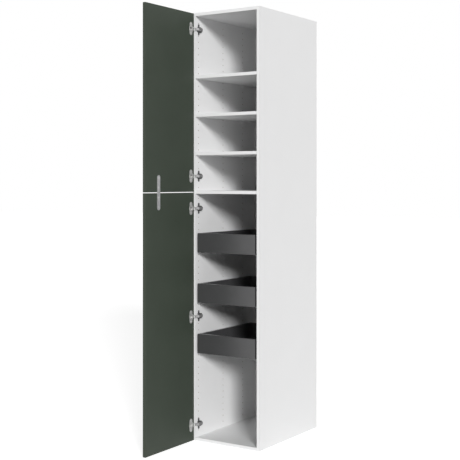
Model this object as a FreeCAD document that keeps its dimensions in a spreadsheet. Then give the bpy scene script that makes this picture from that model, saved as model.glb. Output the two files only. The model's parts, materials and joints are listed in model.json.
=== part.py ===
import FreeCAD, Part
import os
import Sketcher

# A tall kitchen cabinet: carcass, two linked doors on concealed hinges, loose shelves and inner drawers.
# Frame: +Z up, the front faces -Y, the origin is the centre of the carcass's underside.

doc = FreeCAD.newDocument("tall_cabinet")
sheet = doc.addObject("Spreadsheet::Sheet", "sizes")

SIZES = [
    # Carcass
    ("cabinet_width", 400), ("cabinet_height", 2176), ("carcass_depth", 580), ("panel_thickness", 16),
    ("back_thickness", 8), ("back_rebate", 8), ("split_height", 1264), ("shelf_setback", 1),
    ("dowel_radius", 4), ("dowel_length", 30), ("dowel_end_distance", 70), ("dowel_clearance", 0.1),
    # Loose shelves and their pins
    ("shelf_side_clearance", 1), ("shelf_back_clearance", 6), ("first_shelf_height", 180),
    ("shelf_pitch_share", 0.2754),
    ("pin_radius", 2.5), ("pin_hole_depth", 9), ("pin_shank", 8), ("pin_clearance", 0.1),
    ("pin_front_distance", 28), ("pin_back_distance", 128), ("pin_pitch", 32),
    ("pin_head_width", 10), ("pin_head_height", 8), ("pin_head_reach", 9),
    # Doors
    ("door_thickness", 16), ("door_gap", 2), ("door_reveal", 2), ("door_split_gap", 4),
    ("pivot_inset", 5), ("pivot_forward", 6.5),
    ("link_plate_width", 22), ("link_plate_length", 170), ("link_plate_thickness", 2),
    ("link_plate_from_edge", 294),
    # Concealed hinges
    ("hinge_end_distance", 80), ("cup_edge_distance", 22.5), ("cup_radius", 17.5), ("cup_depth", 12),
    ("cup_wall", 1.5), ("cup_floor", 1), ("cup_bore_clearance", 0.1), ("cup_bore_depth", 12.5),
    ("flange_length", 66), ("flange_width", 23), ("flange_thickness", 1.2), ("flange_offset", 3.5),
    ("cup_slot_reach", 14), ("wing_height", 56), ("wing_width", 12), ("wing_thickness", 2),
    ("saddle_front", 18), ("saddle_back", 51), ("saddle_height", 8), ("saddle_width", 26),
    ("arm_width", 16), ("arm_height", 9), ("arm_back", 49), ("arm_shoulder", 3), ("arm_brow", 9),
    ("arm_tail_rise", 4), ("arm_tail_slope", 16), ("nose_width", 11), ("nose_radius", 3), ("nose_heel", 9),
    ("nose_saddle_gap", 1), ("link_pivot_inset", 4), ("link_pivot_forward", 3),
    ("link_pin_radius", 1.5), ("link_pin_clearance", 0.1), ("link_knuckle_radius", 2.5),
    ("pin_end_length", 0.15), ("link_inner_width", 11.6), ("link_sheet", 1.5), ("link_side_gap", 0.35),
    ("link_length", 18), ("link_thickness", 3), ("link_angle", 243), ("bridge_length", 3),
    # Inner drawers
    ("drawer_half_gap", 12), ("drawer_height", 98), ("drawer_length", 500), ("drawer_front_setback", 4),
    ("drawer_front_thickness", 16), ("first_drawer_share", 0.3468), ("drawer_pitch_share", 0.2065),
    ("drawer_side_thickness", 13), ("drawer_sheet", 1.5), ("drawer_back_thickness", 13),
    ("drawer_base_height", 8), ("drawer_base_thickness", 12), ("rail_slot_height", 34),
    ("badge_length", 74), ("badge_height", 24), ("badge_thickness", 1), ("badge_from_front", 35),
    ("badge_from_top", 23),
    # Drawer runners
    ("rail_front_gap", 4), ("rail_end_gap", 20), ("rail_sheet", 1.5), ("rail_flange_height", 38),
    ("rail_drop", 4), ("rail_upstand", 18), ("rail_upstand_inset", 9), ("rail_running_gap", 0.3),
    ("middle_rail_width", 6),
    # One overrun serves every cut
    ("overrun", 1),
]
for row, (alias, value) in enumerate(SIZES, start=1):
    sheet.set(f"A{row}", alias)
    sheet.set(f"B{row}", str(value))
    sheet.setAlias(f"B{row}", alias)
doc.recompute()

# Planes and places that several pieces share, as expressions on the sheet
S = "<<sizes>>."


def on(text):
    """Put the sheet's name before each alias in an expression."""
    words = sorted((alias for alias, _ in SIZES), key=len, reverse=True)
    out = ""
    word = ""
    for letter in text + " ":
        if letter.isalnum() or letter == "_":
            word += letter
            continue
        out += S + word if word in words else word
        word = ""
        out += letter
    return out.strip()


OUTER = "(cabinet_width / 2)"
INNER = "(cabinet_width / 2 - panel_thickness)"
FRONT = "(-carcass_depth / 2)"
BACK_FACE = "(carcass_depth / 2 - back_thickness)"
FIXED_SHELF_BASE = "(split_height - panel_thickness / 2)"
FIXED_SHELF_TOP = "(split_height + panel_thickness / 2)"
# Open at a right angle, the doors' inner face and hinge edge follow from turning about the pivot
PIVOT_X = f"(-{OUTER} + pivot_inset)"
PIVOT_Y = f"({FRONT} - pivot_forward)"
DOOR_FACE = f"({PIVOT_X} + pivot_forward - door_gap)"
DOOR_EDGE = f"({PIVOT_Y} + pivot_inset - door_reveal)"
DOOR_WIDTH = "(cabinet_width - 2 * door_reveal)"
# Each hinge's arm stands on the left wall, and its link turns on a pin just in front of the carcass
WALL = f"(-{INNER})"
LINK_PIVOT_X = f"({WALL} + link_pivot_inset)"
LINK_PIVOT_Y = f"({FRONT} - link_pivot_forward)"
LINK_OUTER = "(link_inner_width + 2 * link_sheet)"

pieces = []


def box(x, y, z, length, width, height):
    """A block from its low corner and its three sizes."""
    made = doc.addObject("Part::Box", "block")
    for path, text in zip(
        ("Placement.Base.x", "Placement.Base.y", "Placement.Base.z", "Length", "Width", "Height"),
        (x, y, z, length, width, height),
    ):
        made.setExpression(path, on(text))
    return made


AXES = {
    "x": FreeCAD.Rotation(FreeCAD.Vector(0, 0, 1), FreeCAD.Vector(1, 0, 0)),
    "-x": FreeCAD.Rotation(FreeCAD.Vector(0, 0, 1), FreeCAD.Vector(-1, 0, 0)),
    "z": FreeCAD.Rotation(),
}


def rod(axis, x, y, z, radius, length, sides=0):
    """A cylinder, or a bar with flat sides, that starts at a point and runs along an axis."""
    made = doc.addObject("Part::Prism" if sides else "Part::Cylinder", "rod")
    if sides:
        made.Polygon = sides
    made.Placement = FreeCAD.Placement(FreeCAD.Vector(), AXES[axis])
    for path, text in zip(
        ("Placement.Base.x", "Placement.Base.y", "Placement.Base.z", "Circumradius" if sides else "Radius",
         "Height"),
        (x, y, z, radius, length),
    ):
        made.setExpression(path, on(text))
    return made


UPRIGHT = FreeCAD.Rotation(FreeCAD.Vector(1, 1, 1), 120)


def outline(corners, along, base, length):
    """A closed outline of straight lines: corners in Y and Z drawn out along X, or in X and Y along Z."""
    sketch = doc.addObject("Sketcher::SketchObject", "outline")
    if along == "x":
        sketch.Placement = FreeCAD.Placement(FreeCAD.Vector(), UPRIGHT)
    sketch.setExpression(f"Placement.Base.{along}", on(base))
    points = [FreeCAD.Vector(*[sketch.evalExpression(on(text)) for text in corner]) for corner in corners]
    for number, point in enumerate(points):
        sketch.addGeometry(Part.LineSegment(point, points[(number + 1) % len(points)]))
    for number, corner in enumerate(corners):
        sketch.addConstraint(Sketcher.Constraint("Coincident", number - 1 if number else len(corners) - 1, 2,
                                                 number, 1))
        for kind, text, value in zip(("DistanceX", "DistanceY"), corner, points[number]):
            row = sketch.addConstraint(Sketcher.Constraint(kind, -1, 1, number, 1, value))
            sketch.setExpression(f"Constraints[{row}]", on(text))
    made = doc.addObject("Part::Extrusion", "drawn")
    made.Base = sketch
    made.DirMode = "Normal"
    made.Solid = True
    made.setExpression("LengthFwd", on(length))
    return made


def common(first, second):
    made = doc.addObject("Part::Common", "common")
    made.Base = first
    made.Tool = second
    return made


def fuse(*shapes):
    made = doc.addObject("Part::MultiFuse", "joined")
    made.Shapes = list(shapes)
    made.Refine = True
    return made


def cut(base, *tools):
    made = doc.addObject("Part::Cut", "cut")
    made.Base = base
    made.Tool = tools[0] if len(tools) == 1 else group(*tools)
    return made


def group(*shapes):
    made = doc.addObject("Part::Compound", "group")
    made.Links = list(shapes)
    return made


def piece(name, made):
    """Name a finished sub-part, whose label names its file."""
    made.Label = name
    pieces.append(made)
    return made


def across(side, low, high):
    """The start and length in X of a stretch on the right (1) or, mirrored, on the left (-1)."""
    start = f"({low})" if side > 0 else f"(-({high}))"
    return start, f"(({high}) - ({low}))"


SIDES = {"left": -1, "right": 1}
SHELVES = ["lower", "middle", "upper"]
DRAWERS = ["lower", "middle", "upper"]
HINGE_HEIGHTS = [
    "(door_reveal + hinge_end_distance)",
    "((door_reveal + split_height - door_split_gap / 2) / 2)",
    "(split_height - door_split_gap / 2 - hinge_end_distance)",
    "(split_height + door_split_gap / 2 + hinge_end_distance)",
    "(cabinet_height - door_reveal - hinge_end_distance)",
]
LOWER_HINGES = HINGE_HEIGHTS[:3]
UPPER_HINGES = HINGE_HEIGHTS[3:]


def shelf_base(number):
    """The first shelf's height is set, and the others divide what is left under the top panel."""
    first = f"({FIXED_SHELF_TOP} + first_shelf_height)"
    return f"({first} + {number} * shelf_pitch_share * (cabinet_height - panel_thickness - {first}))"


PIN_COLUMNS = [f"({FRONT} + pin_front_distance)", f"({BACK_FACE} - pin_back_distance)"]
DOWEL_COLUMNS = [f"({FRONT} + dowel_end_distance)", f"({BACK_FACE} - dowel_end_distance)"]
DOWEL_HEIGHTS = ["(panel_thickness / 2)", "split_height", "(cabinet_height - panel_thickness / 2)"]
HOLES_BESIDE_PIN = (-1, 0, 1)
# Fluted dowels, shelf pegs and their many holes have few sides, and the hinges' outer rounds a few more,
# to keep the model light
PEG_SIDES = 10
HINGE_SIDES = 24


def pin_height(number, step):
    return f"({shelf_base(number)} - pin_head_height / 2 + {step} * pin_pitch)"


def dowel_hole(side, y, z):
    """The hole for one dowel, half in the side panel and half in the end of the panel it holds."""
    start, length = across(side, f"{INNER} - dowel_length / 2", f"{INNER} + dowel_length / 2")
    axis_start = start if side > 0 else f"({start} + {length})"
    return rod("x" if side > 0 else "-x", axis_start, y, z, "(dowel_radius + dowel_clearance)", length,
               PEG_SIDES)


def side_panel(name, side):
    """A full-height side with a rebate for the back, shelf pin holes and dowel holes."""
    start, length = across(side, INNER, OUTER)
    board = box(start, FRONT, "0", length, "carcass_depth", "cabinet_height")
    start, length = across(side, f"{INNER} - overrun", f"{INNER} + back_rebate")
    rebate = box(start, BACK_FACE, "(-overrun)", length, "(back_thickness + overrun)",
                 "(cabinet_height + 2 * overrun)")
    tools = [rebate]
    mouth = f"({side} * ({INNER} - overrun))"
    for number in range(len(SHELVES)):
        for step in HOLES_BESIDE_PIN:
            for column in PIN_COLUMNS:
                tools.append(rod("x" if side > 0 else "-x", mouth, column, pin_height(number, step),
                                 "(pin_radius + pin_clearance)", "(pin_hole_depth + overrun)", PEG_SIDES))
    for height in DOWEL_HEIGHTS:
        for column in DOWEL_COLUMNS:
            tools.append(dowel_hole(side, column, height))
    piece(name, cut(board, *tools))


def cross_panel(name, z, front_setback):
    """A panel between the sides, bored at its ends for the dowels."""
    board = box(f"(-{INNER})", f"({FRONT} + {front_setback})", z, f"(2 * {INNER})",
                f"(carcass_depth - back_thickness - {front_setback})", "panel_thickness")
    middle = f"({z} + panel_thickness / 2)"
    holes = [dowel_hole(side, y, middle) for side in SIDES.values() for y in DOWEL_COLUMNS]
    piece(name, cut(board, *holes))


def carcass():
    for word, side in SIDES.items():
        side_panel(f"{word}_side_panel", side)
    cross_panel("bottom_panel", "0", "0")
    cross_panel("fixed_shelf", FIXED_SHELF_BASE, "shelf_setback")
    cross_panel("top_panel", "(cabinet_height - panel_thickness)", "0")
    piece("back_panel", box(f"(-{INNER} - back_rebate)", BACK_FACE, "0", f"(2 * ({INNER} + back_rebate))",
                            "back_thickness", "cabinet_height"))
    dowels = []
    for side in SIDES.values():
        for height in DOWEL_HEIGHTS:
            for column in DOWEL_COLUMNS:
                start, length = across(side, f"{INNER} - dowel_length / 2 + dowel_clearance",
                                       f"{INNER} + dowel_length / 2 - dowel_clearance")
                dowels.append(rod("x", start, column, height, "dowel_radius", length, PEG_SIDES))
    piece("dowels", group(*dowels))


def shelves():
    """Three loose shelves, each on four pins with a flat top."""
    pins = []
    half = f"({INNER} - shelf_side_clearance)"
    for number, word in enumerate(SHELVES):
        piece(f"{word}_shelf", box(f"(-{half})", f"({FRONT} + shelf_setback)", shelf_base(number),
                                   f"(2 * {half})",
                                   "(carcass_depth - back_thickness - shelf_setback - shelf_back_clearance)",
                                   "panel_thickness"))
        for side in SIDES.values():
            for column in PIN_COLUMNS:
                start, length = across(side, f"{INNER} - pin_head_reach", INNER)
                head = box(start, f"({column} - pin_head_width / 2)",
                           f"({shelf_base(number)} - pin_head_height)", length, "pin_head_width",
                           "pin_head_height")
                shank = rod("x" if side > 0 else "-x", f"({side} * {INNER})", column, pin_height(number, 0),
                            "pin_radius", "pin_shank", PEG_SIDES)
                pins.append(fuse(head, shank))
    piece("shelf_pins", group(*pins))


def cup_centre_y():
    return f"({DOOR_EDGE} - cup_edge_distance)"


def door(name, z, height, hinges):
    """A plain flat door, open at a right angle, bored for its hinge cups."""
    board = box(f"({DOOR_FACE} - door_thickness)", f"({DOOR_EDGE} - {DOOR_WIDTH})", z, "door_thickness",
                DOOR_WIDTH, height)
    bores = [rod("-x", f"({DOOR_FACE} + overrun)", cup_centre_y(), at, "(cup_radius + cup_bore_clearance)",
                 "(cup_bore_depth + overrun)") for at in hinges]
    piece(name, cut(board, *bores))


def doors():
    door("lower_door", "door_reveal", "(split_height - door_split_gap / 2 - door_reveal)", LOWER_HINGES)
    door("upper_door", "(split_height + door_split_gap / 2)",
         "(cabinet_height - door_reveal - split_height - door_split_gap / 2)", UPPER_HINGES)
    # A flat bar with round ends crosses the gap and ties the doors together
    y = f"({DOOR_EDGE} - link_plate_from_edge)"
    straight = "(link_plate_length - link_plate_width)"
    bar = box(DOOR_FACE, f"({y} - link_plate_width / 2)", f"(split_height - {straight} / 2)",
              "link_plate_thickness", "link_plate_width", straight)
    ends = [rod("x", DOOR_FACE, y, f"(split_height + {sign} * {straight} / 2)", "(link_plate_width / 2)",
                "link_plate_thickness") for sign in (-1, 1)]
    piece("door_link_plate", fuse(bar, *ends))


def hinge_cup(name, z):
    """The round cup and its flange with round ends, slotted where the arm and the link dip in."""
    y = cup_centre_y()
    flange_y = f"({y} - flange_offset)"
    straight = "(flange_length - flange_width)"
    body = rod("-x", DOOR_FACE, y, z, "cup_radius", "cup_depth")
    flange = box(DOOR_FACE, f"({flange_y} - flange_width / 2)", f"({z} - {straight} / 2)",
                 "flange_thickness", "flange_width", straight)
    ends = [rod("x", DOOR_FACE, flange_y, f"({z} + {sign} * {straight} / 2)", "(flange_width / 2)",
                "flange_thickness", HINGE_SIDES) for sign in (-1, 1)]
    hollow = rod("-x", DOOR_FACE, y, z, "(cup_radius - cup_wall)", "(cup_depth - cup_floor)", HINGE_SIDES)
    half_slot = f"({LINK_OUTER} / 2 + link_side_gap)"
    slot = box(DOOR_FACE, f"({y} - cup_slot_reach)", f"({z} - {half_slot})", "(flange_thickness + overrun)",
               "(2 * cup_slot_reach)", f"(2 * {half_slot})")
    piece(name, cut(fuse(body, flange, *ends), hollow, slot))


def mounting_plate(name, z):
    """A cross-shaped plate on the side panel: two screw wings and a saddle for the arm, with round ends."""
    wing_y = f"({FRONT} + pin_front_distance)"
    straight = "(wing_height - wing_width)"
    wings = box(WALL, f"({wing_y} - wing_width / 2)", f"({z} - {straight} / 2)", "wing_thickness",
                "wing_width", straight)
    wing_ends = [rod("x", WALL, wing_y, f"({z} + {sign} * {straight} / 2)", "(wing_width / 2)",
                     "wing_thickness", HINGE_SIDES) for sign in (-1, 1)]
    tail_y = f"({FRONT} + saddle_back - saddle_width / 2)"
    saddle = box(WALL, f"({FRONT} + saddle_front)", f"({z} - saddle_width / 2)", "saddle_height",
                 "(saddle_back - saddle_width / 2 - saddle_front)", "saddle_width")
    tail = rod("x", WALL, tail_y, z, "(saddle_width / 2)", "saddle_height", HINGE_SIDES)
    piece(name, fuse(wings, *wing_ends, saddle, tail))


def hinge_arm(name, z):
    """The arm on the saddle. Its side outline falls to a round nose that carries the link's pin and to a low
    tail, and its plan widens from the nose to a beam with a round end."""
    seat = f"({WALL} + saddle_height)"
    top = f"({seat} + arm_height)"
    nose_base = f"({LINK_PIVOT_X} - nose_radius)"
    tail_y = f"({FRONT} + arm_back - arm_width / 2)"
    side = outline([
        (nose_base, LINK_PIVOT_Y),
        (f"{LINK_PIVOT_X} + nose_radius", LINK_PIVOT_Y),
        (top, f"{FRONT} + arm_brow"),
        (top, f"{FRONT} + arm_back - arm_tail_slope"),
        (f"{seat} + arm_tail_rise", f"{FRONT} + arm_back"),
        (seat, f"{FRONT} + arm_back"),
        (seat, f"{FRONT} + saddle_front - nose_saddle_gap"),
        (nose_base, f"{LINK_PIVOT_Y} + nose_heel"),
    ], "z", f"({z} - arm_width / 2)", "arm_width")
    height = f"({top} - {nose_base})"
    widths = [(LINK_PIVOT_Y, "nose_width"), (f"{FRONT} + arm_shoulder", "nose_width"),
              (f"{FRONT} + saddle_front", "arm_width"), (tail_y, "arm_width")]
    edge = [(y, f"{z} + {width} / 2") for y, width in widths]
    edge += [(y, f"{z} - {width} / 2") for y, width in reversed(widths)]
    plan = fuse(outline(edge, "x", nose_base, height),
                rod("x", nose_base, tail_y, z, "(arm_width / 2)", height, HINGE_SIDES))
    nose = rod("z", LINK_PIVOT_X, LINK_PIVOT_Y, f"({z} - nose_width / 2)", "nose_radius", "nose_width",
               HINGE_SIDES)
    pin = rod("z", LINK_PIVOT_X, LINK_PIVOT_Y, f"({z} - {LINK_OUTER} / 2 - pin_end_length)",
              "link_pin_radius", f"({LINK_OUTER} + 2 * pin_end_length)")
    piece(name, fuse(common(side, plan), nose, pin))


def along_link(z, start, length, low, width):
    """A block along the link's slanted line, from a distance past the pin."""
    made = doc.addObject("Part::Box", "strip")
    made.Placement = FreeCAD.Placement(FreeCAD.Vector(), FreeCAD.Rotation(FreeCAD.Vector(0, 0, 1), 1))
    back = "(link_thickness / 2)"
    for path, text in (
        ("Length", length),
        ("Width", "link_thickness"),
        ("Height", width),
        ("Placement.Rotation.Angle", "link_angle"),
        ("Placement.Base.x", f"{LINK_PIVOT_X} + {start} * cos(link_angle) + {back} * sin(link_angle)"),
        ("Placement.Base.y", f"{LINK_PIVOT_Y} + {start} * sin(link_angle) - {back} * cos(link_angle)"),
        ("Placement.Base.z", f"{z} + {low}"),
    ):
        made.setExpression(path, on(text))
    return made


def hinge_link(z):
    """A folded link: two cheeks on the arm's pin, outside the nose, joined by a bridge at the cup's end."""
    solids = []
    for low in (f"(-{LINK_OUTER} / 2)", "(link_inner_width / 2)"):
        base = f"({z} + {low})"
        cheek = along_link(z, "0", "link_length", low, "link_sheet")
        knuckle = rod("z", LINK_PIVOT_X, LINK_PIVOT_Y, base, "link_knuckle_radius", "link_sheet", HINGE_SIDES)
        eye = rod("z", LINK_PIVOT_X, LINK_PIVOT_Y, f"({base} - overrun)",
                  "(link_pin_radius + link_pin_clearance)", "(link_sheet + 2 * overrun)")
        solids.append(cut(fuse(cheek, knuckle), eye))
    bridge = along_link(z, "(link_length - bridge_length)", "bridge_length", f"(-{LINK_OUTER} / 2)",
                        LINK_OUTER)
    return fuse(*solids, bridge)


def hinges():
    for number, z in enumerate(HINGE_HEIGHTS, start=1):
        hinge_cup(f"hinge_{number}_cup", z)
        hinge_arm(f"hinge_{number}_arm", z)
        mounting_plate(f"hinge_{number}_plate", z)
    piece("hinge_links", group(*[hinge_link(z) for z in HINGE_HEIGHTS]))


DRAWER_HALF = f"({INNER} - drawer_half_gap)"
DRAWER_FRONT = f"({FRONT} + drawer_front_setback)"
BOX_FRONT = f"({DRAWER_FRONT} + drawer_front_thickness)"
DRAWER_BACK = f"({DRAWER_FRONT} + drawer_length)"
DRAWER_INNER = f"({DRAWER_HALF} - drawer_side_thickness)"
RAIL_LENGTH = "(drawer_length - drawer_front_thickness - rail_front_gap - rail_end_gap)"


def drawer_side(name, side, z):
    """A double-walled steel side: a closed box over a slot, open below, that hides the runner."""
    depth = f"({DRAWER_BACK} - {BOX_FRONT})"
    start, length = across(side, DRAWER_INNER, DRAWER_HALF)
    shell = box(start, BOX_FRONT, z, length, depth, "drawer_height")
    start, length = across(side, f"{DRAWER_INNER} + drawer_sheet", f"{DRAWER_HALF} - drawer_sheet")
    run = f"({depth} + 2 * overrun)"
    slot = box(start, f"({BOX_FRONT} - overrun)", f"({z} - overrun)", length, run,
               "(rail_slot_height + overrun)")
    core = box(start, f"({BOX_FRONT} - overrun)", f"({z} + rail_slot_height + drawer_sheet)", length, run,
               "(drawer_height - rail_slot_height - 2 * drawer_sheet)")
    piece(name, cut(shell, slot, core))


def drawer_rails(word, z):
    """Under each side, a folded cabinet rail on the wall and a middle rail that runs on it."""
    y = f"({BOX_FRONT} + rail_front_gap)"
    fixed = []
    moving = []
    for side in SIDES.values():
        start, length = across(side, f"{INNER} - rail_sheet", INNER)
        flange = box(start, y, f"({z} - rail_drop)", length, RAIL_LENGTH, "rail_flange_height")
        inset = f"({DRAWER_HALF} - rail_upstand_inset)"
        start, length = across(side, inset, INNER)
        web = box(start, y, f"({z} - rail_drop)", length, RAIL_LENGTH, "rail_sheet")
        start, length = across(side, inset, f"{inset} + rail_sheet")
        upstand = box(start, y, f"({z} - rail_drop)", length, RAIL_LENGTH, "rail_upstand")
        fixed.append(fuse(flange, web, upstand))
        near = f"({inset} - rail_sheet / 2)"
        start, length = across(side, near, f"{near} + middle_rail_width")
        low = f"({z} - rail_drop + rail_upstand + rail_running_gap)"
        moving.append(box(start, y, low, length, RAIL_LENGTH,
                          "(rail_slot_height + rail_drop - rail_upstand - 2 * rail_running_gap)"))
    piece(f"{word}_drawer_cabinet_rails", group(*fixed))
    piece(f"{word}_drawer_middle_rails", group(*moving))


def drawer(word, number):
    bay = f"({FIXED_SHELF_BASE} - panel_thickness)"
    z = f"(panel_thickness + (first_drawer_share + {number} * drawer_pitch_share) * {bay})"
    name = f"{word}_drawer"
    piece(f"{name}_front", box(f"(-{DRAWER_HALF})", DRAWER_FRONT, z, f"(2 * {DRAWER_HALF})",
                               "drawer_front_thickness", "drawer_height"))
    for hand, side in SIDES.items():
        drawer_side(f"{name}_{hand}_side", side, z)
    inner_width = f"(2 * {DRAWER_INNER})"
    base_z = f"({z} + drawer_base_height)"
    piece(f"{name}_back", box(f"(-{DRAWER_INNER})", f"({DRAWER_BACK} - drawer_back_thickness)", base_z,
                              inner_width, "drawer_back_thickness", "(drawer_height - drawer_base_height)"))
    base_depth = f"({DRAWER_BACK} - drawer_back_thickness - {BOX_FRONT})"
    piece(f"{name}_base", box(f"(-{DRAWER_INNER})", BOX_FRONT, base_z, inner_width, base_depth,
                              "drawer_base_thickness"))
    piece(f"{name}_white_plate", box(DRAWER_HALF, f"({DRAWER_FRONT} + badge_from_front)",
                                     f"({z} + drawer_height - badge_from_top - badge_height)",
                                     "badge_thickness", "badge_length", "badge_height"))
    drawer_rails(word, z)


carcass()
shelves()
doors()
hinges()
for number, word in enumerate(DRAWERS):
    drawer(word, number)
doc.recompute()

for made in doc.Objects:
    if "Invalid" in made.State or "Error" in made.State:
        raise RuntimeError(f"{made.Label} did not rebuild: {made.State}")
for made in pieces:
    if made.Shape.isNull() or not made.Shape.isValid() or not made.Shape.Solids:
        raise RuntimeError(f"{made.Label} has no valid solid")

os.makedirs("parts", exist_ok=True)
for made in pieces:
    made.Shape.exportStep(os.path.join("parts", f"{made.Label}.step"))
print(len(pieces), "sub-parts")
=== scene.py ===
import json
import math

import bmesh
import bpy
from mathutils import Matrix, Vector

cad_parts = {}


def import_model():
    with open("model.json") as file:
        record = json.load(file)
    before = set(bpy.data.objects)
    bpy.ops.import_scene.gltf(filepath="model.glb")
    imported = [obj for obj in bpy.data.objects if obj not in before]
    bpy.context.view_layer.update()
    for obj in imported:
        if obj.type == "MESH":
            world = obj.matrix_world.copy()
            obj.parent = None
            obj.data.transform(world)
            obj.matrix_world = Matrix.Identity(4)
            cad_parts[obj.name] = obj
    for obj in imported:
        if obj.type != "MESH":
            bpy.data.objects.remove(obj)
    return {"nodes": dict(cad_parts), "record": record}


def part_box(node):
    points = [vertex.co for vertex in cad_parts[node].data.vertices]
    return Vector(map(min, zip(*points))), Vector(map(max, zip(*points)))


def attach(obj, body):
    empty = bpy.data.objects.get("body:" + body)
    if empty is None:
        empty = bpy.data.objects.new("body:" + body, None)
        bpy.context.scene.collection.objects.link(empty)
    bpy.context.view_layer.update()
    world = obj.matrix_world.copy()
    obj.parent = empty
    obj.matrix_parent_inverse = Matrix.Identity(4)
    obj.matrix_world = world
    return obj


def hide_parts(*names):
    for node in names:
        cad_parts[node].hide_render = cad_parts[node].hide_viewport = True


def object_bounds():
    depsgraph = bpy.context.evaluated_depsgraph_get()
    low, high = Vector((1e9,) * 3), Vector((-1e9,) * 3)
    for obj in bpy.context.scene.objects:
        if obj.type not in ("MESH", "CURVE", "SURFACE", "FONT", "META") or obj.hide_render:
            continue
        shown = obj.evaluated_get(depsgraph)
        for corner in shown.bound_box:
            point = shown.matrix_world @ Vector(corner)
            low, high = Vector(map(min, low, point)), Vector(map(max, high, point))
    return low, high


# A tall kitchen cabinet, open at a right angle, with loose shelves and inner drawers. Sizes are in metres.

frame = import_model()
cad_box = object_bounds()
nodes = frame["nodes"]

MM = 0.001
DRAWERS = ("lower", "middle", "upper")
SHELVES = ("lower", "middle", "upper")
HINGES = range(1, 6)

# Camera, from the photograph's frame of 460 pixels
IMAGE_SIZE = 460
FOCAL_PIXELS = 1002.2
HORIZON_PIXEL = 182.6
CAMERA_PLACE = (2.786, -4.443, 1.313)
CAMERA_YAW = math.radians(33.59)
SENSOR_WIDTH = 36

# Light: one soft key from the front right, and a pale sky
KEY_FROM = (0.99, -1.02, 0.47)
KEY_STRENGTH = 2.5
KEY_ANGLE = math.radians(13)
SKY_LEVEL = 0.25
FLOOR_COLOUR = (0.82, 0.82, 0.82)
FLOOR_LIFT = 0.70
FLOOR_HALF = 30
FLOOR_ROUGHNESS = 0.9
WHITE = (1, 1, 1, 1)


# Materials read their noise over the middle of its range, in cells per metre
NOISE_LOW = 0.3
NOISE_HIGH = 0.7
NOISE_DETAIL = 3.0
EVEN = (1, 1, 1)
BRUSHED = (4, 1, 4)
FINE_BRUSHED = (6, 1, 6)
ALONG_DOWEL = (0.1, 1, 1)
CHIP_DEPTH = 0.3 * MM
PEARL_DEPTH = 0.1 * MM
GRAIN_DEPTH = 0.05 * MM


def node_link(tree, source, output, target, entry):
    tree.links.new(source.outputs[output], target.inputs[entry])


def plain_material(name, colour, roughness, metallic=0.0, specular=0.5):
    """A principled material with its uniform values set on the shader itself."""
    made = bpy.data.materials.new(name)
    made.use_nodes = True
    shader = made.node_tree.nodes["Principled BSDF"]
    shader.inputs["Base Color"].default_value = (*colour, 1)
    shader.inputs["Roughness"].default_value = roughness
    shader.inputs["Metallic"].default_value = metallic
    shader.inputs["Specular IOR Level"].default_value = specular
    return made


def noise(tree, scale, stretch):
    """A noise texture in the part's own frame."""
    place = tree.nodes.new("ShaderNodeTexCoord")
    turn = tree.nodes.new("ShaderNodeMapping")
    turn.inputs["Scale"].default_value = stretch
    made = tree.nodes.new("ShaderNodeTexNoise")
    made.inputs["Scale"].default_value = scale
    made.inputs["Detail"].default_value = NOISE_DETAIL
    node_link(tree, place, "Object", turn, "Vector")
    node_link(tree, turn, "Vector", made, "Vector")
    return made


def vary_colour(made, colour, spread, scale, stretch=EVEN):
    """Let the colour drift a little, lighter and darker, over the surface."""
    tree = made.node_tree
    ramp = tree.nodes.new("ShaderNodeValToRGB")
    dark, light = ramp.color_ramp.elements
    dark.position = NOISE_LOW
    light.position = NOISE_HIGH
    dark.color = (*[c * (1 - spread) for c in colour], 1)
    light.color = (*[c * (1 + spread) for c in colour], 1)
    node_link(tree, noise(tree, scale, stretch), "Fac", ramp, "Fac")
    node_link(tree, ramp, "Color", tree.nodes["Principled BSDF"], "Base Color")


def vary_roughness(made, low, high, scale, stretch=EVEN):
    """Let the gloss drift between two roughnesses."""
    tree = made.node_tree
    ranged = tree.nodes.new("ShaderNodeMapRange")
    ranged.inputs["From Min"].default_value = NOISE_LOW
    ranged.inputs["From Max"].default_value = NOISE_HIGH
    ranged.inputs["To Min"].default_value = low
    ranged.inputs["To Max"].default_value = high
    node_link(tree, noise(tree, scale, stretch), "Fac", ranged, "Value")
    node_link(tree, ranged, "Result", tree.nodes["Principled BSDF"], "Roughness")


def add_bump(made, scale, strength, depth):
    """Roughen the surface by a fine even grain."""
    tree = made.node_tree
    bump = tree.nodes.new("ShaderNodeBump")
    bump.inputs["Strength"].default_value = strength
    bump.inputs["Distance"].default_value = depth
    node_link(tree, noise(tree, scale, EVEN), "Fac", bump, "Height")
    node_link(tree, bump, "Normal", tree.nodes["Principled BSDF"], "Normal")


def white_melamine():
    """White faced board with a fine pearl texture."""
    colour = (0.88, 0.88, 0.882)
    made = plain_material("white_melamine", colour, roughness=0.42, specular=0.35)
    vary_colour(made, colour, spread=0.006, scale=6)
    vary_roughness(made, low=0.38, high=0.48, scale=260)
    add_bump(made, scale=900, strength=0.12, depth=PEARL_DEPTH)
    return made


def edge_band_painted_brighter():
    """The smoother strip glued on a board's front edge, whiter than the faces: partly its own colour,
    partly painted light that brightens the front edges as if they were lit more strongly.
    """
    # Painted light in part: this white is set above the board faces' white to stand in for the stronger
    # light on the front edges.
    colour = (0.96, 0.96, 0.96)
    made = plain_material("edge_band_painted_brighter", colour, roughness=0.34, specular=0.4)
    vary_colour(made, colour, spread=0.010, scale=14)
    vary_roughness(made, low=0.3, high=0.4, scale=320)
    return made


def board_core():
    """The pressed chips that a drilled hole and a board's unbanded rear edge lay bare."""
    colour = (0.50, 0.455, 0.395)
    made = plain_material("board_core", colour, roughness=0.85, specular=0.2)
    vary_colour(made, colour, spread=0.30, scale=500)
    add_bump(made, scale=600, strength=0.4, depth=CHIP_DEPTH)
    return made


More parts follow.
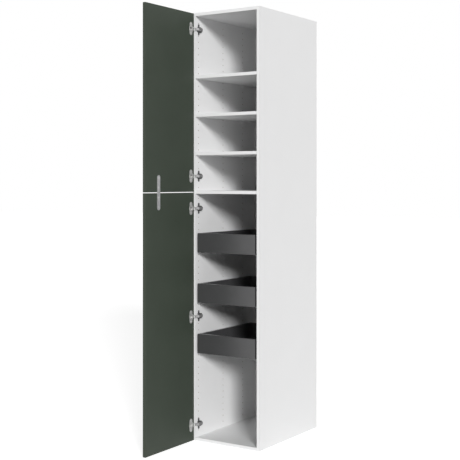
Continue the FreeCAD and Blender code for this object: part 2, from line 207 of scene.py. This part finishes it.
def green_front():
    """Dark green lacquer, matt, with a faint orange peel."""
    colour = (0.0458, 0.0578, 0.0434)
    made = plain_material("green_front", colour, roughness=0.55, specular=0.3)
    vary_colour(made, colour, spread=0.05, scale=5)
    vary_roughness(made, low=0.5, high=0.6, scale=300)
    add_bump(made, scale=700, strength=0.12, depth=PEARL_DEPTH)
    return made


def anthracite():
    """Dark grey satin powder coat with a fine even grain."""
    colour = (0.066, 0.066, 0.069)
    made = plain_material("anthracite", colour, roughness=0.3, specular=1.0)
    vary_colour(made, colour, spread=0.06, scale=40)
    vary_roughness(made, low=0.26, high=0.36, scale=900)
    add_bump(made, scale=2200, strength=0.25, depth=GRAIN_DEPTH)
    return made


def anthracite_board():
    """Darker grey satin board, with a fainter grain than the coated steel."""
    colour = (0.054, 0.054, 0.056)
    made = plain_material("anthracite_board", colour, roughness=0.31, specular=1.0)
    vary_colour(made, colour, spread=0.05, scale=24)
    vary_roughness(made, low=0.28, high=0.36, scale=500)
    add_bump(made, scale=1400, strength=0.18, depth=GRAIN_DEPTH)
    return made


SATIN_SMOOTHER = 0.06
SATIN_ROUGHER = 0.08


def satin_metal(name, colour, roughness):
    """A dull plated metal, brushed along the arm, that keeps some even tone under a lamp."""
    made = plain_material(name, colour, roughness, metallic=0.55)
    vary_colour(made, colour, spread=0.08, scale=120, stretch=BRUSHED)
    smoothest = roughness - SATIN_SMOOTHER
    roughest = roughness + SATIN_ROUGHER
    vary_roughness(made, smoothest, roughest, scale=300, stretch=FINE_BRUSHED)
    return made


def nickel():
    """Satin nickel, as on the hinges' cups and links."""
    return satin_metal("nickel", colour=(0.58, 0.58, 0.57), roughness=0.5)


def arm_steel():
    """The greyer plated steel of the hinges' arms."""
    return satin_metal("arm_steel", colour=(0.30, 0.298, 0.30), roughness=0.56)


def die_cast():
    """The dark die-cast metal of the mounting plates."""
    return satin_metal("die_cast", colour=(0.11, 0.11, 0.112), roughness=0.5)


def zinc():
    """Bright zinc plate with a soft bloom."""
    colour = (0.66, 0.66, 0.67)
    made = plain_material("zinc", colour, roughness=0.46, metallic=1.0)
    vary_colour(made, colour, spread=0.08, scale=60)
    vary_roughness(made, low=0.4, high=0.54, scale=200)
    return made


def white_plastic():
    """Smooth white plastic, as on the drawers' plates and the shelf pins."""
    made = plain_material("white_plastic", colour=(0.86, 0.86, 0.86), roughness=0.32)
    vary_roughness(made, low=0.28, high=0.4, scale=400)
    return made


def beech():
    """Pale wood with grain along the dowel."""
    colour = (0.55, 0.38, 0.22)
    made = plain_material("beech", colour, roughness=0.6)
    vary_colour(made, colour, spread=0.25, scale=300, stretch=ALONG_DOWEL)
    return made


MATERIALS = {
    "white_melamine": white_melamine(),
    "edge_band_painted_brighter": edge_band_painted_brighter(),
    "board_core": board_core(),
    "green_front": green_front(),
    "anthracite": anthracite(),
    "anthracite_board": anthracite_board(),
    "nickel": nickel(),
    "arm_steel": arm_steel(),
    "die_cast": die_cast(),
    "zinc": zinc(),
    "white_plastic": white_plastic(),
    "beech": beech(),
}


def dress_nodes():
    """Give each node the material of its slot, or for the hinges' arms and plates a variant of it."""
    variants = {}
    for number in HINGES:
        variants[f"hinge_{number}_arm"] = "arm_steel"
        variants[f"hinge_{number}_plate"] = "die_cast"
    for row in frame["record"]["subparts"]:
        data = nodes[row["node"]].data
        data.materials.clear()
        data.materials.append(MATERIALS[variants.get(row["node"], row["material_slot"])])


# Rounds on broken edges
WELD_REACH = 0.01 * MM
BEVEL_SEGMENTS = 2
BEVEL_ANGLE = math.radians(50)
DOOR_ROUND = 1.0 * MM
BOARD_ROUND = 0.6 * MM
DRAWER_ROUND = 0.5 * MM
PLATE_ROUND = 0.4 * MM
HINGE_ROUND = 0.3 * MM
DRILLED_ROUND = 0.3 * MM


def bevel_edges(made, width):
    """Break an object's sharp edges by a small round."""
    bevel = made.modifiers.new("edges", "BEVEL")
    bevel.width = width
    bevel.segments = BEVEL_SEGMENTS
    bevel.limit_method = "ANGLE"
    bevel.angle_limit = BEVEL_ANGLE
    bevel.harden_normals = True


def soften(node, width):
    """Join a node's facets where they meet, then break its edges."""
    made = nodes[node]
    weld = made.modifiers.new("weld", "WELD")
    weld.merge_threshold = WELD_REACH
    bevel_edges(made, width)


def soften_edges():
    boards = ["bottom_panel", "fixed_shelf", "top_panel", "back_panel"]
    boards += [f"{word}_shelf" for word in SHELVES]
    for node in boards:
        soften(node, BOARD_ROUND)
    for node in ("lower_door", "upper_door"):
        soften(node, DOOR_ROUND)
    for word in DRAWERS:
        for end in ("front", "left_side", "right_side", "back"):
            soften(f"{word}_drawer_{end}", DRAWER_ROUND)
        soften(f"{word}_drawer_white_plate", PLATE_ROUND)
    soften("door_link_plate", PLATE_ROUND)
    for number in HINGES:
        for part in ("cup", "arm", "plate"):
            soften(f"hinge_{number}_{part}", HINGE_ROUND)


def piece(name, mesh, body, slot, finish=None):
    """A finished mesh as a piece that rides on a body, with its slot's material or a variant of it."""
    data = bpy.data.meshes.new(name)
    mesh.to_mesh(data)
    mesh.free()
    data.materials.append(MATERIALS[finish or slot])
    made = bpy.data.objects.new(name, data)
    bpy.context.scene.collection.objects.link(made)
    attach(made, body)
    return made


# Edge bands
BAND_ROUND = 0.8 * MM
BAND_PROUD = 0.2 * MM
BAND_DEPTH = 1.4 * MM
BAND_STEPS = 4


def band_section(width):
    """The strip's section, across the edge and into the board, with its two front corners rounded."""
    points = [(-width / 2, BAND_DEPTH)]
    for sign in (-1, 1):
        centre = sign * (width / 2 - BAND_ROUND)
        for step in range(BAND_STEPS + 1):
            turn = math.pi / 2 * step / BAND_STEPS
            along = math.cos(turn) if sign < 0 else math.sin(turn)
            into = math.sin(turn) if sign < 0 else math.cos(turn)
            points.append((centre + sign * BAND_ROUND * along, BAND_ROUND * (1 - into)))
    points.append((width / 2, BAND_DEPTH))
    return points


def edge_strip(node, body):
    """The edge band on a board's front edge."""
    low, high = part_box(node)
    upright = high.z - low.z > high.x - low.x
    width = high.x - low.x if upright else high.z - low.z
    middle = (low + high) / 2
    front = low.y - BAND_PROUD
    mesh = bmesh.new()
    loops = []
    for end in (low, high):
        loop = []
        for across, into in band_section(width):
            if upright:
                place = (middle.x + across, front + into, end.z)
            else:
                place = (end.x, front + into, middle.z + across)
            loop.append(mesh.verts.new(place))
        loops.append(loop)
    first, last = loops
    count = len(first)
    for step in range(count):
        after = (step + 1) % count
        mesh.faces.new((first[step], first[after], last[after], last[step]))
    mesh.faces.new(first)
    mesh.faces.new(last)
    bmesh.ops.recalc_face_normals(mesh, faces=mesh.faces)
    return piece(f"{node}_edge_band_painted_brighter", mesh, body, "white_melamine", "edge_band_painted_brighter")


def edge_bands():
    for node in ("left_side_panel", "right_side_panel", "bottom_panel", "fixed_shelf", "top_panel"):
        edge_strip(node, "carcass")
    for word in SHELVES:
        edge_strip(f"{word}_shelf", f"{word}_shelf")


# Rows of shelf holes, with the columns' distances from the front
HOLE_SIDES = 12
HOLE_RADIUS = 2.6 * MM
HOLE_DEPTH = 9 * MM
HOLE_PITCH = 32 * MM
HOLE_CELL = 16 * MM
HOLE_COLUMNS = (28 * MM, 252 * MM, 444 * MM)
PIN_DROP = 4 * MM
FIRST_HOLE = 32 * MM
HOLES_UNDER_SHELF = 2
HOLES_OVER_SHELF = 3
# On a side panel's mesh, the core's place among the materials and the rear edge's in the outline
CORE_INDEX = 1
REAR_STRIP = 1


def hole_heights():
    """Rows at one pitch in the drawer bay, and at the same pitch from each loose shelf's pins above it."""
    floor_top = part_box("bottom_panel")[1].z
    divider_low, divider_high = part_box("fixed_shelf")
    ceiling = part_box("top_panel")[0].z
    heights = []
    row = floor_top + FIRST_HOLE
    while row < divider_low.z - HOLE_CELL:
        heights.append(row)
        row += HOLE_PITCH
    for number, word in enumerate(SHELVES):
        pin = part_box(f"{word}_shelf")[0].z - PIN_DROP
        low = pin - HOLES_UNDER_SHELF * HOLE_PITCH
        high = pin + HOLES_OVER_SHELF * HOLE_PITCH
        if number == 0:
            low -= math.floor((low - divider_high.z - HOLE_CELL) / HOLE_PITCH) * HOLE_PITCH
        if number == len(SHELVES) - 1:
            high += math.floor((ceiling - HOLE_CELL - high) / HOLE_PITCH) * HOLE_PITCH
        for step in range(round((high - low) / HOLE_PITCH) + 1):
            heights.append(low + step * HOLE_PITCH)
    return heights


def with_cells(low, high, centres):
    """Cut marks along a face: its ends, and both sides of a cell round each hole."""
    marks = [low]
    for centre in centres:
        marks += [centre - HOLE_CELL / 2, centre + HOLE_CELL / 2]
    return marks + [high]


def drill(mesh, corners, centre, inward):
    """A blind hole in a square cell: the four faces round its rim, its wall and its bottom."""
    rims = []
    for depth in (0, HOLE_DEPTH):
        rim = []
        for step in range(HOLE_SIDES):
            angle = math.pi / 4 + 2 * math.pi * step / HOLE_SIDES
            offset = Vector((inward * depth, math.cos(angle) * HOLE_RADIUS, math.sin(angle) * HOLE_RADIUS))
            rim.append(mesh.verts.new(centre + offset))
        rims.append(rim)
    mouth, bottom = rims
    per_side = HOLE_SIDES // 4
    for side in range(4):
        arc = [mouth[(side * per_side + step) % HOLE_SIDES] for step in range(per_side + 1)]
        mesh.faces.new([corners[side], corners[(side + 1) % 4]] + list(reversed(arc)))
    for step in range(HOLE_SIDES):
        after = (step + 1) % HOLE_SIDES
        wall = mesh.faces.new((mouth[step], mouth[after], bottom[after], bottom[step]))
        wall.smooth = True
        wall.material_index = CORE_INDEX
    mesh.faces.new(bottom).material_index = CORE_INDEX


def drilled_side(node, side):
    """A side panel with its rebate and all its rows of holes, in place of the plainer board."""
    low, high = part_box(node)
    rebate_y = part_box("back_panel")[0].y
    inner = low.x if side > 0 else high.x
    outer = high.x if side > 0 else low.x
    step_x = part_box("back_panel")[1].x if side > 0 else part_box("back_panel")[0].x
    columns = [low.y + column for column in HOLE_COLUMNS]
    rows = hole_heights()
    y_marks = with_cells(low.y, rebate_y, columns)
    z_marks = with_cells(low.z, high.z, rows)
    mesh = bmesh.new()
    grid = [[mesh.verts.new((inner, y, z)) for z in z_marks] for y in y_marks]
    for i in range(len(y_marks) - 1):
        for k in range(len(z_marks) - 1):
            if i % 2 and k % 2:
                corners = (grid[i + 1][k + 1], grid[i][k + 1], grid[i][k], grid[i + 1][k])
                centre = Vector((inner, columns[i // 2], rows[k // 2]))
                drill(mesh, corners, centre, side)
            else:
                mesh.faces.new((grid[i][k], grid[i + 1][k], grid[i + 1][k + 1], grid[i][k + 1]))
    plan = [(step_x, rebate_y), (step_x, high.y), (outer, high.y), (outer, low.y)]
    bottom = [mesh.verts.new((x, y, low.z)) for x, y in plan]
    top = [mesh.verts.new((x, y, high.z)) for x, y in plan]
    for step in range(len(plan) - 1):
        strip = mesh.faces.new((bottom[step], bottom[step + 1], top[step + 1], top[step]))
        if step == REAR_STRIP:
            strip.material_index = CORE_INDEX
    mesh.faces.new([bottom[-1]] + grid[0] + [top[-1]])
    mesh.faces.new([bottom[0], top[0]] + list(reversed(grid[-1])))
    mesh.faces.new(bottom + [column[0] for column in grid])
    mesh.faces.new(top + [column[-1] for column in grid])
    bmesh.ops.recalc_face_normals(mesh, faces=mesh.faces)
    made = piece(f"drilled_{node}", mesh, "carcass", "white_melamine")
    made.data.materials.append(MATERIALS["board_core"])
    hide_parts(node)
    bevel_edges(made, DRILLED_ROUND)


# Screws: a head's size is its radius and its height, and a ring's shares are of those two
RIGHT = (1, 0, 0)
LEFT = (-1, 0, 0)
HINGE_SCREW = (4 * MM, 1.6 * MM)
WING_SCREW = (4.2 * MM, 1.8 * MM)
LINK_SCREW = (4 * MM, 1.2 * MM)
RAIL_SCREW = (4 * MM, 1.6 * MM)
FLANGE_SCREW_FROM_EDGE = 14 * MM
FLANGE_SCREW_RISE = 24 * MM
WING_THICKNESS = 2 * MM
WING_SCREW_RISE = 22 * MM
ARM_SCREW_REACHES = (15 * MM, 28 * MM)
LINK_SCREW_OUTER = 14 * MM
LINK_SCREW_INNER = 60 * MM
RAIL_SHEET = 1.5 * MM
RAIL_SCREW_RISE = 22 * MM
RAIL_SCREW_REACHES = (20 * MM, 212 * MM, 404 * MM)
SCREW_SIDES = 20
SCREW_RING_SHARES = ((1, 0), (1, 0.45), (0.86, 0.85), (0.68, 1))
CROSS_REACH_SHARE = 0.55
CROSS_HALF_SHARE = 0.13
CROSS_DEPTH_SHARE = 0.5


def screw_head(mesh, centre, axis, radius, height):
    """A pan head with a cross recess, its seat at the centre and its top along the axis."""
    turn = Vector((0, 0, 1)).rotation_difference(Vector(axis)).to_matrix().to_4x4()
    place = Matrix.Translation(centre) @ turn
    loops = []
    for radius_share, height_share in SCREW_RING_SHARES:
        ring_radius = radius_share * radius
        z = height_share * height
        loop = []
        for step in range(SCREW_SIDES):
            angle = 2 * math.pi * step / SCREW_SIDES
            point = Vector((ring_radius * math.cos(angle), ring_radius * math.sin(angle), z))
            loop.append(mesh.verts.new(place @ point))
        loops.append(loop)
    for low, high in zip(loops, loops[1:]):
        for step in range(SCREW_SIDES):
            after = (step + 1) % SCREW_SIDES
            mesh.faces.new((low[step], low[after], high[after], high[step])).smooth = True
    mesh.faces.new(list(reversed(loops[0])))
    reach = CROSS_REACH_SHARE * radius
    half = CROSS_HALF_SHARE * radius
    corners = []
    for quarter in range(4):
        spin = Matrix.Rotation(quarter * math.pi / 2, 4, "Z")
        for x, y in ((reach, -half), (reach, half), (half, half)):
            corners.append(spin @ Vector((x, y, 0)))
    top = [mesh.verts.new(place @ (corner + Vector((0, 0, height)))) for corner in corners]
    depth = height * (1 - CROSS_DEPTH_SHARE)
    bottom = [mesh.verts.new(place @ (corner + Vector((0, 0, depth)))) for corner in corners]
    edges = []
    for loop in (loops[-1], top):
        for step, vert in enumerate(loop):
            after = loop[(step + 1) % len(loop)]
            edges.append(mesh.edges.get((vert, after)) or mesh.edges.new((vert, after)))
    bmesh.ops.triangle_fill(mesh, use_beauty=True, edges=edges)
    for step in range(len(top)):
        after = (step + 1) % len(top)
        mesh.faces.new((top[step], top[after], bottom[after], bottom[step]))
    mesh.faces.new(bottom)


def screws(name, heads, axis, size, body, slot, finish=None):
    """A set of like screw heads as one piece."""
    radius, height = size
    mesh = bmesh.new()
    for centre in heads:
        screw_head(mesh, centre, axis, radius, height)
    bmesh.ops.recalc_face_normals(mesh, faces=mesh.faces)
    return piece(name, mesh, body, slot, finish)


def hinge_screws():
    """Screws in the flange and the wings of each hinge, and the arm's two adjusters."""
    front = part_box("left_side_panel")[0].y
    for number in HINGES:
        low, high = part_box(f"hinge_{number}_cup")
        middle_z = (low.z + high.z) / 2
        flange_y = low.y + FLANGE_SCREW_FROM_EDGE
        heads = [(high.x, flange_y, middle_z + sign * FLANGE_SCREW_RISE) for sign in (-1, 1)]
        screws(f"hinge_{number}_cup_screws", heads, RIGHT, HINGE_SCREW, "doors", "nickel")
        wing_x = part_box(f"hinge_{number}_plate")[0].x + WING_THICKNESS
        wing_y = front + HOLE_COLUMNS[0]
        heads = [(wing_x, wing_y, middle_z + sign * WING_SCREW_RISE) for sign in (-1, 1)]
        screws(f"hinge_{number}_plate_screws", heads, RIGHT, WING_SCREW, "carcass", "nickel", "die_cast")
        arm_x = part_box(f"hinge_{number}_arm")[1].x
        heads = [(arm_x, front + reach, middle_z) for reach in ARM_SCREW_REACHES]
        screws(f"hinge_{number}_arm_screws", heads, RIGHT, HINGE_SCREW, "carcass", "nickel", "arm_steel")


def link_plate_screws():
    """Two screws in each door through the plate that ties them."""
    low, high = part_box("door_link_plate")
    middle_y = (low.y + high.y) / 2
    lower_pair = [low.z + LINK_SCREW_OUTER, low.z + LINK_SCREW_INNER]
    upper_pair = [high.z - LINK_SCREW_INNER, high.z - LINK_SCREW_OUTER]
    heads = [(high.x, middle_y, z) for z in lower_pair + upper_pair]
    screws("door_link_plate_screws", heads, RIGHT, LINK_SCREW, "doors", "zinc")


def rail_screws():
    """Three screws through each cabinet rail's flange into the wall."""
    for word in DRAWERS:
        low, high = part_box(f"{word}_drawer_cabinet_rails")
        z = low.z + RAIL_SCREW_RISE
        sides = (("left", RIGHT, low.x + RAIL_SHEET), ("right", LEFT, high.x - RAIL_SHEET))
        for hand, axis, x in sides:
            heads = [(x, low.y + reach, z) for reach in RAIL_SCREW_REACHES]
            screws(f"{word}_drawer_{hand}_rail_screws", heads, axis, RAIL_SCREW, "carcass", "zinc")


def camera():
    lens = bpy.data.cameras.new("camera")
    lens.sensor_width = SENSOR_WIDTH
    lens.lens = SENSOR_WIDTH * FOCAL_PIXELS / IMAGE_SIZE
    lens.shift_y = (HORIZON_PIXEL - IMAGE_SIZE / 2) / IMAGE_SIZE
    made = bpy.data.objects.new("camera", lens)
    made.location = CAMERA_PLACE
    made.rotation_euler = (math.pi / 2, 0, CAMERA_YAW)
    bpy.context.scene.collection.objects.link(made)
    bpy.context.scene.camera = made


def seen_directly(tree):
    """One for camera, glossy and transmission rays, which see the pale background."""
    path = tree.nodes.new("ShaderNodeLightPath")
    total = None
    for ray in ("Is Camera Ray", "Is Glossy Ray", "Is Transmission Ray"):
        if total is None:
            total = path.outputs[ray]
            continue
        add = tree.nodes.new("ShaderNodeMath")
        add.operation = "MAXIMUM"
        tree.links.new(total, add.inputs[0])
        tree.links.new(path.outputs[ray], add.inputs[1])
        total = add.outputs[0]
    return total


def world():
    made = bpy.data.worlds.new("studio")
    bpy.context.scene.world = made
    made.use_nodes = True
    tree = made.node_tree
    back = tree.nodes["Background"]
    back.inputs["Color"].default_value = WHITE
    level = tree.nodes.new("ShaderNodeMapRange")
    level.inputs["To Min"].default_value = SKY_LEVEL
    level.inputs["To Max"].default_value = 1.0
    tree.links.new(seen_directly(tree), level.inputs["Value"])
    node_link(tree, level, "Result", back, "Strength")


def key_light():
    lamp = bpy.data.lights.new("key", "SUN")
    lamp.energy = KEY_STRENGTH
    lamp.angle = KEY_ANGLE
    made = bpy.data.objects.new("key", lamp)
    made.rotation_euler = Vector(KEY_FROM).to_track_quat("Z", "Y").to_euler()
    bpy.context.scene.collection.objects.link(made)


def floor():
    """A wide pale floor that keeps a faint shadow."""
    mesh = bmesh.new()
    bmesh.ops.create_grid(mesh, x_segments=1, y_segments=1, size=FLOOR_HALF)
    data = bpy.data.meshes.new("floor")
    mesh.to_mesh(data)
    mesh.free()
    made = plain_material("floor", FLOOR_COLOUR, FLOOR_ROUGHNESS, specular=0.0)
    tree = made.node_tree
    shader = tree.nodes["Principled BSDF"]
    shader.inputs["Emission Color"].default_value = WHITE
    lift = tree.nodes.new("ShaderNodeMath")
    lift.operation = "MULTIPLY"
    lift.inputs[1].default_value = FLOOR_LIFT
    tree.links.new(seen_directly(tree), lift.inputs[0])
    node_link(tree, lift, "Value", shader, "Emission Strength")
    data.materials.append(made)
    placed = bpy.data.objects.new("floor", data)
    bpy.context.scene.collection.objects.link(placed)
    placed.location.z = cad_box[0].z


dress_nodes()
soften_edges()
edge_bands()
drilled_side("left_side_panel", -1)
drilled_side("right_side_panel", 1)
hinge_screws()
link_plate_screws()
rail_screws()
camera()
world()
key_light()
floor()
bpy.context.scene.view_settings.view_transform = "Standard"
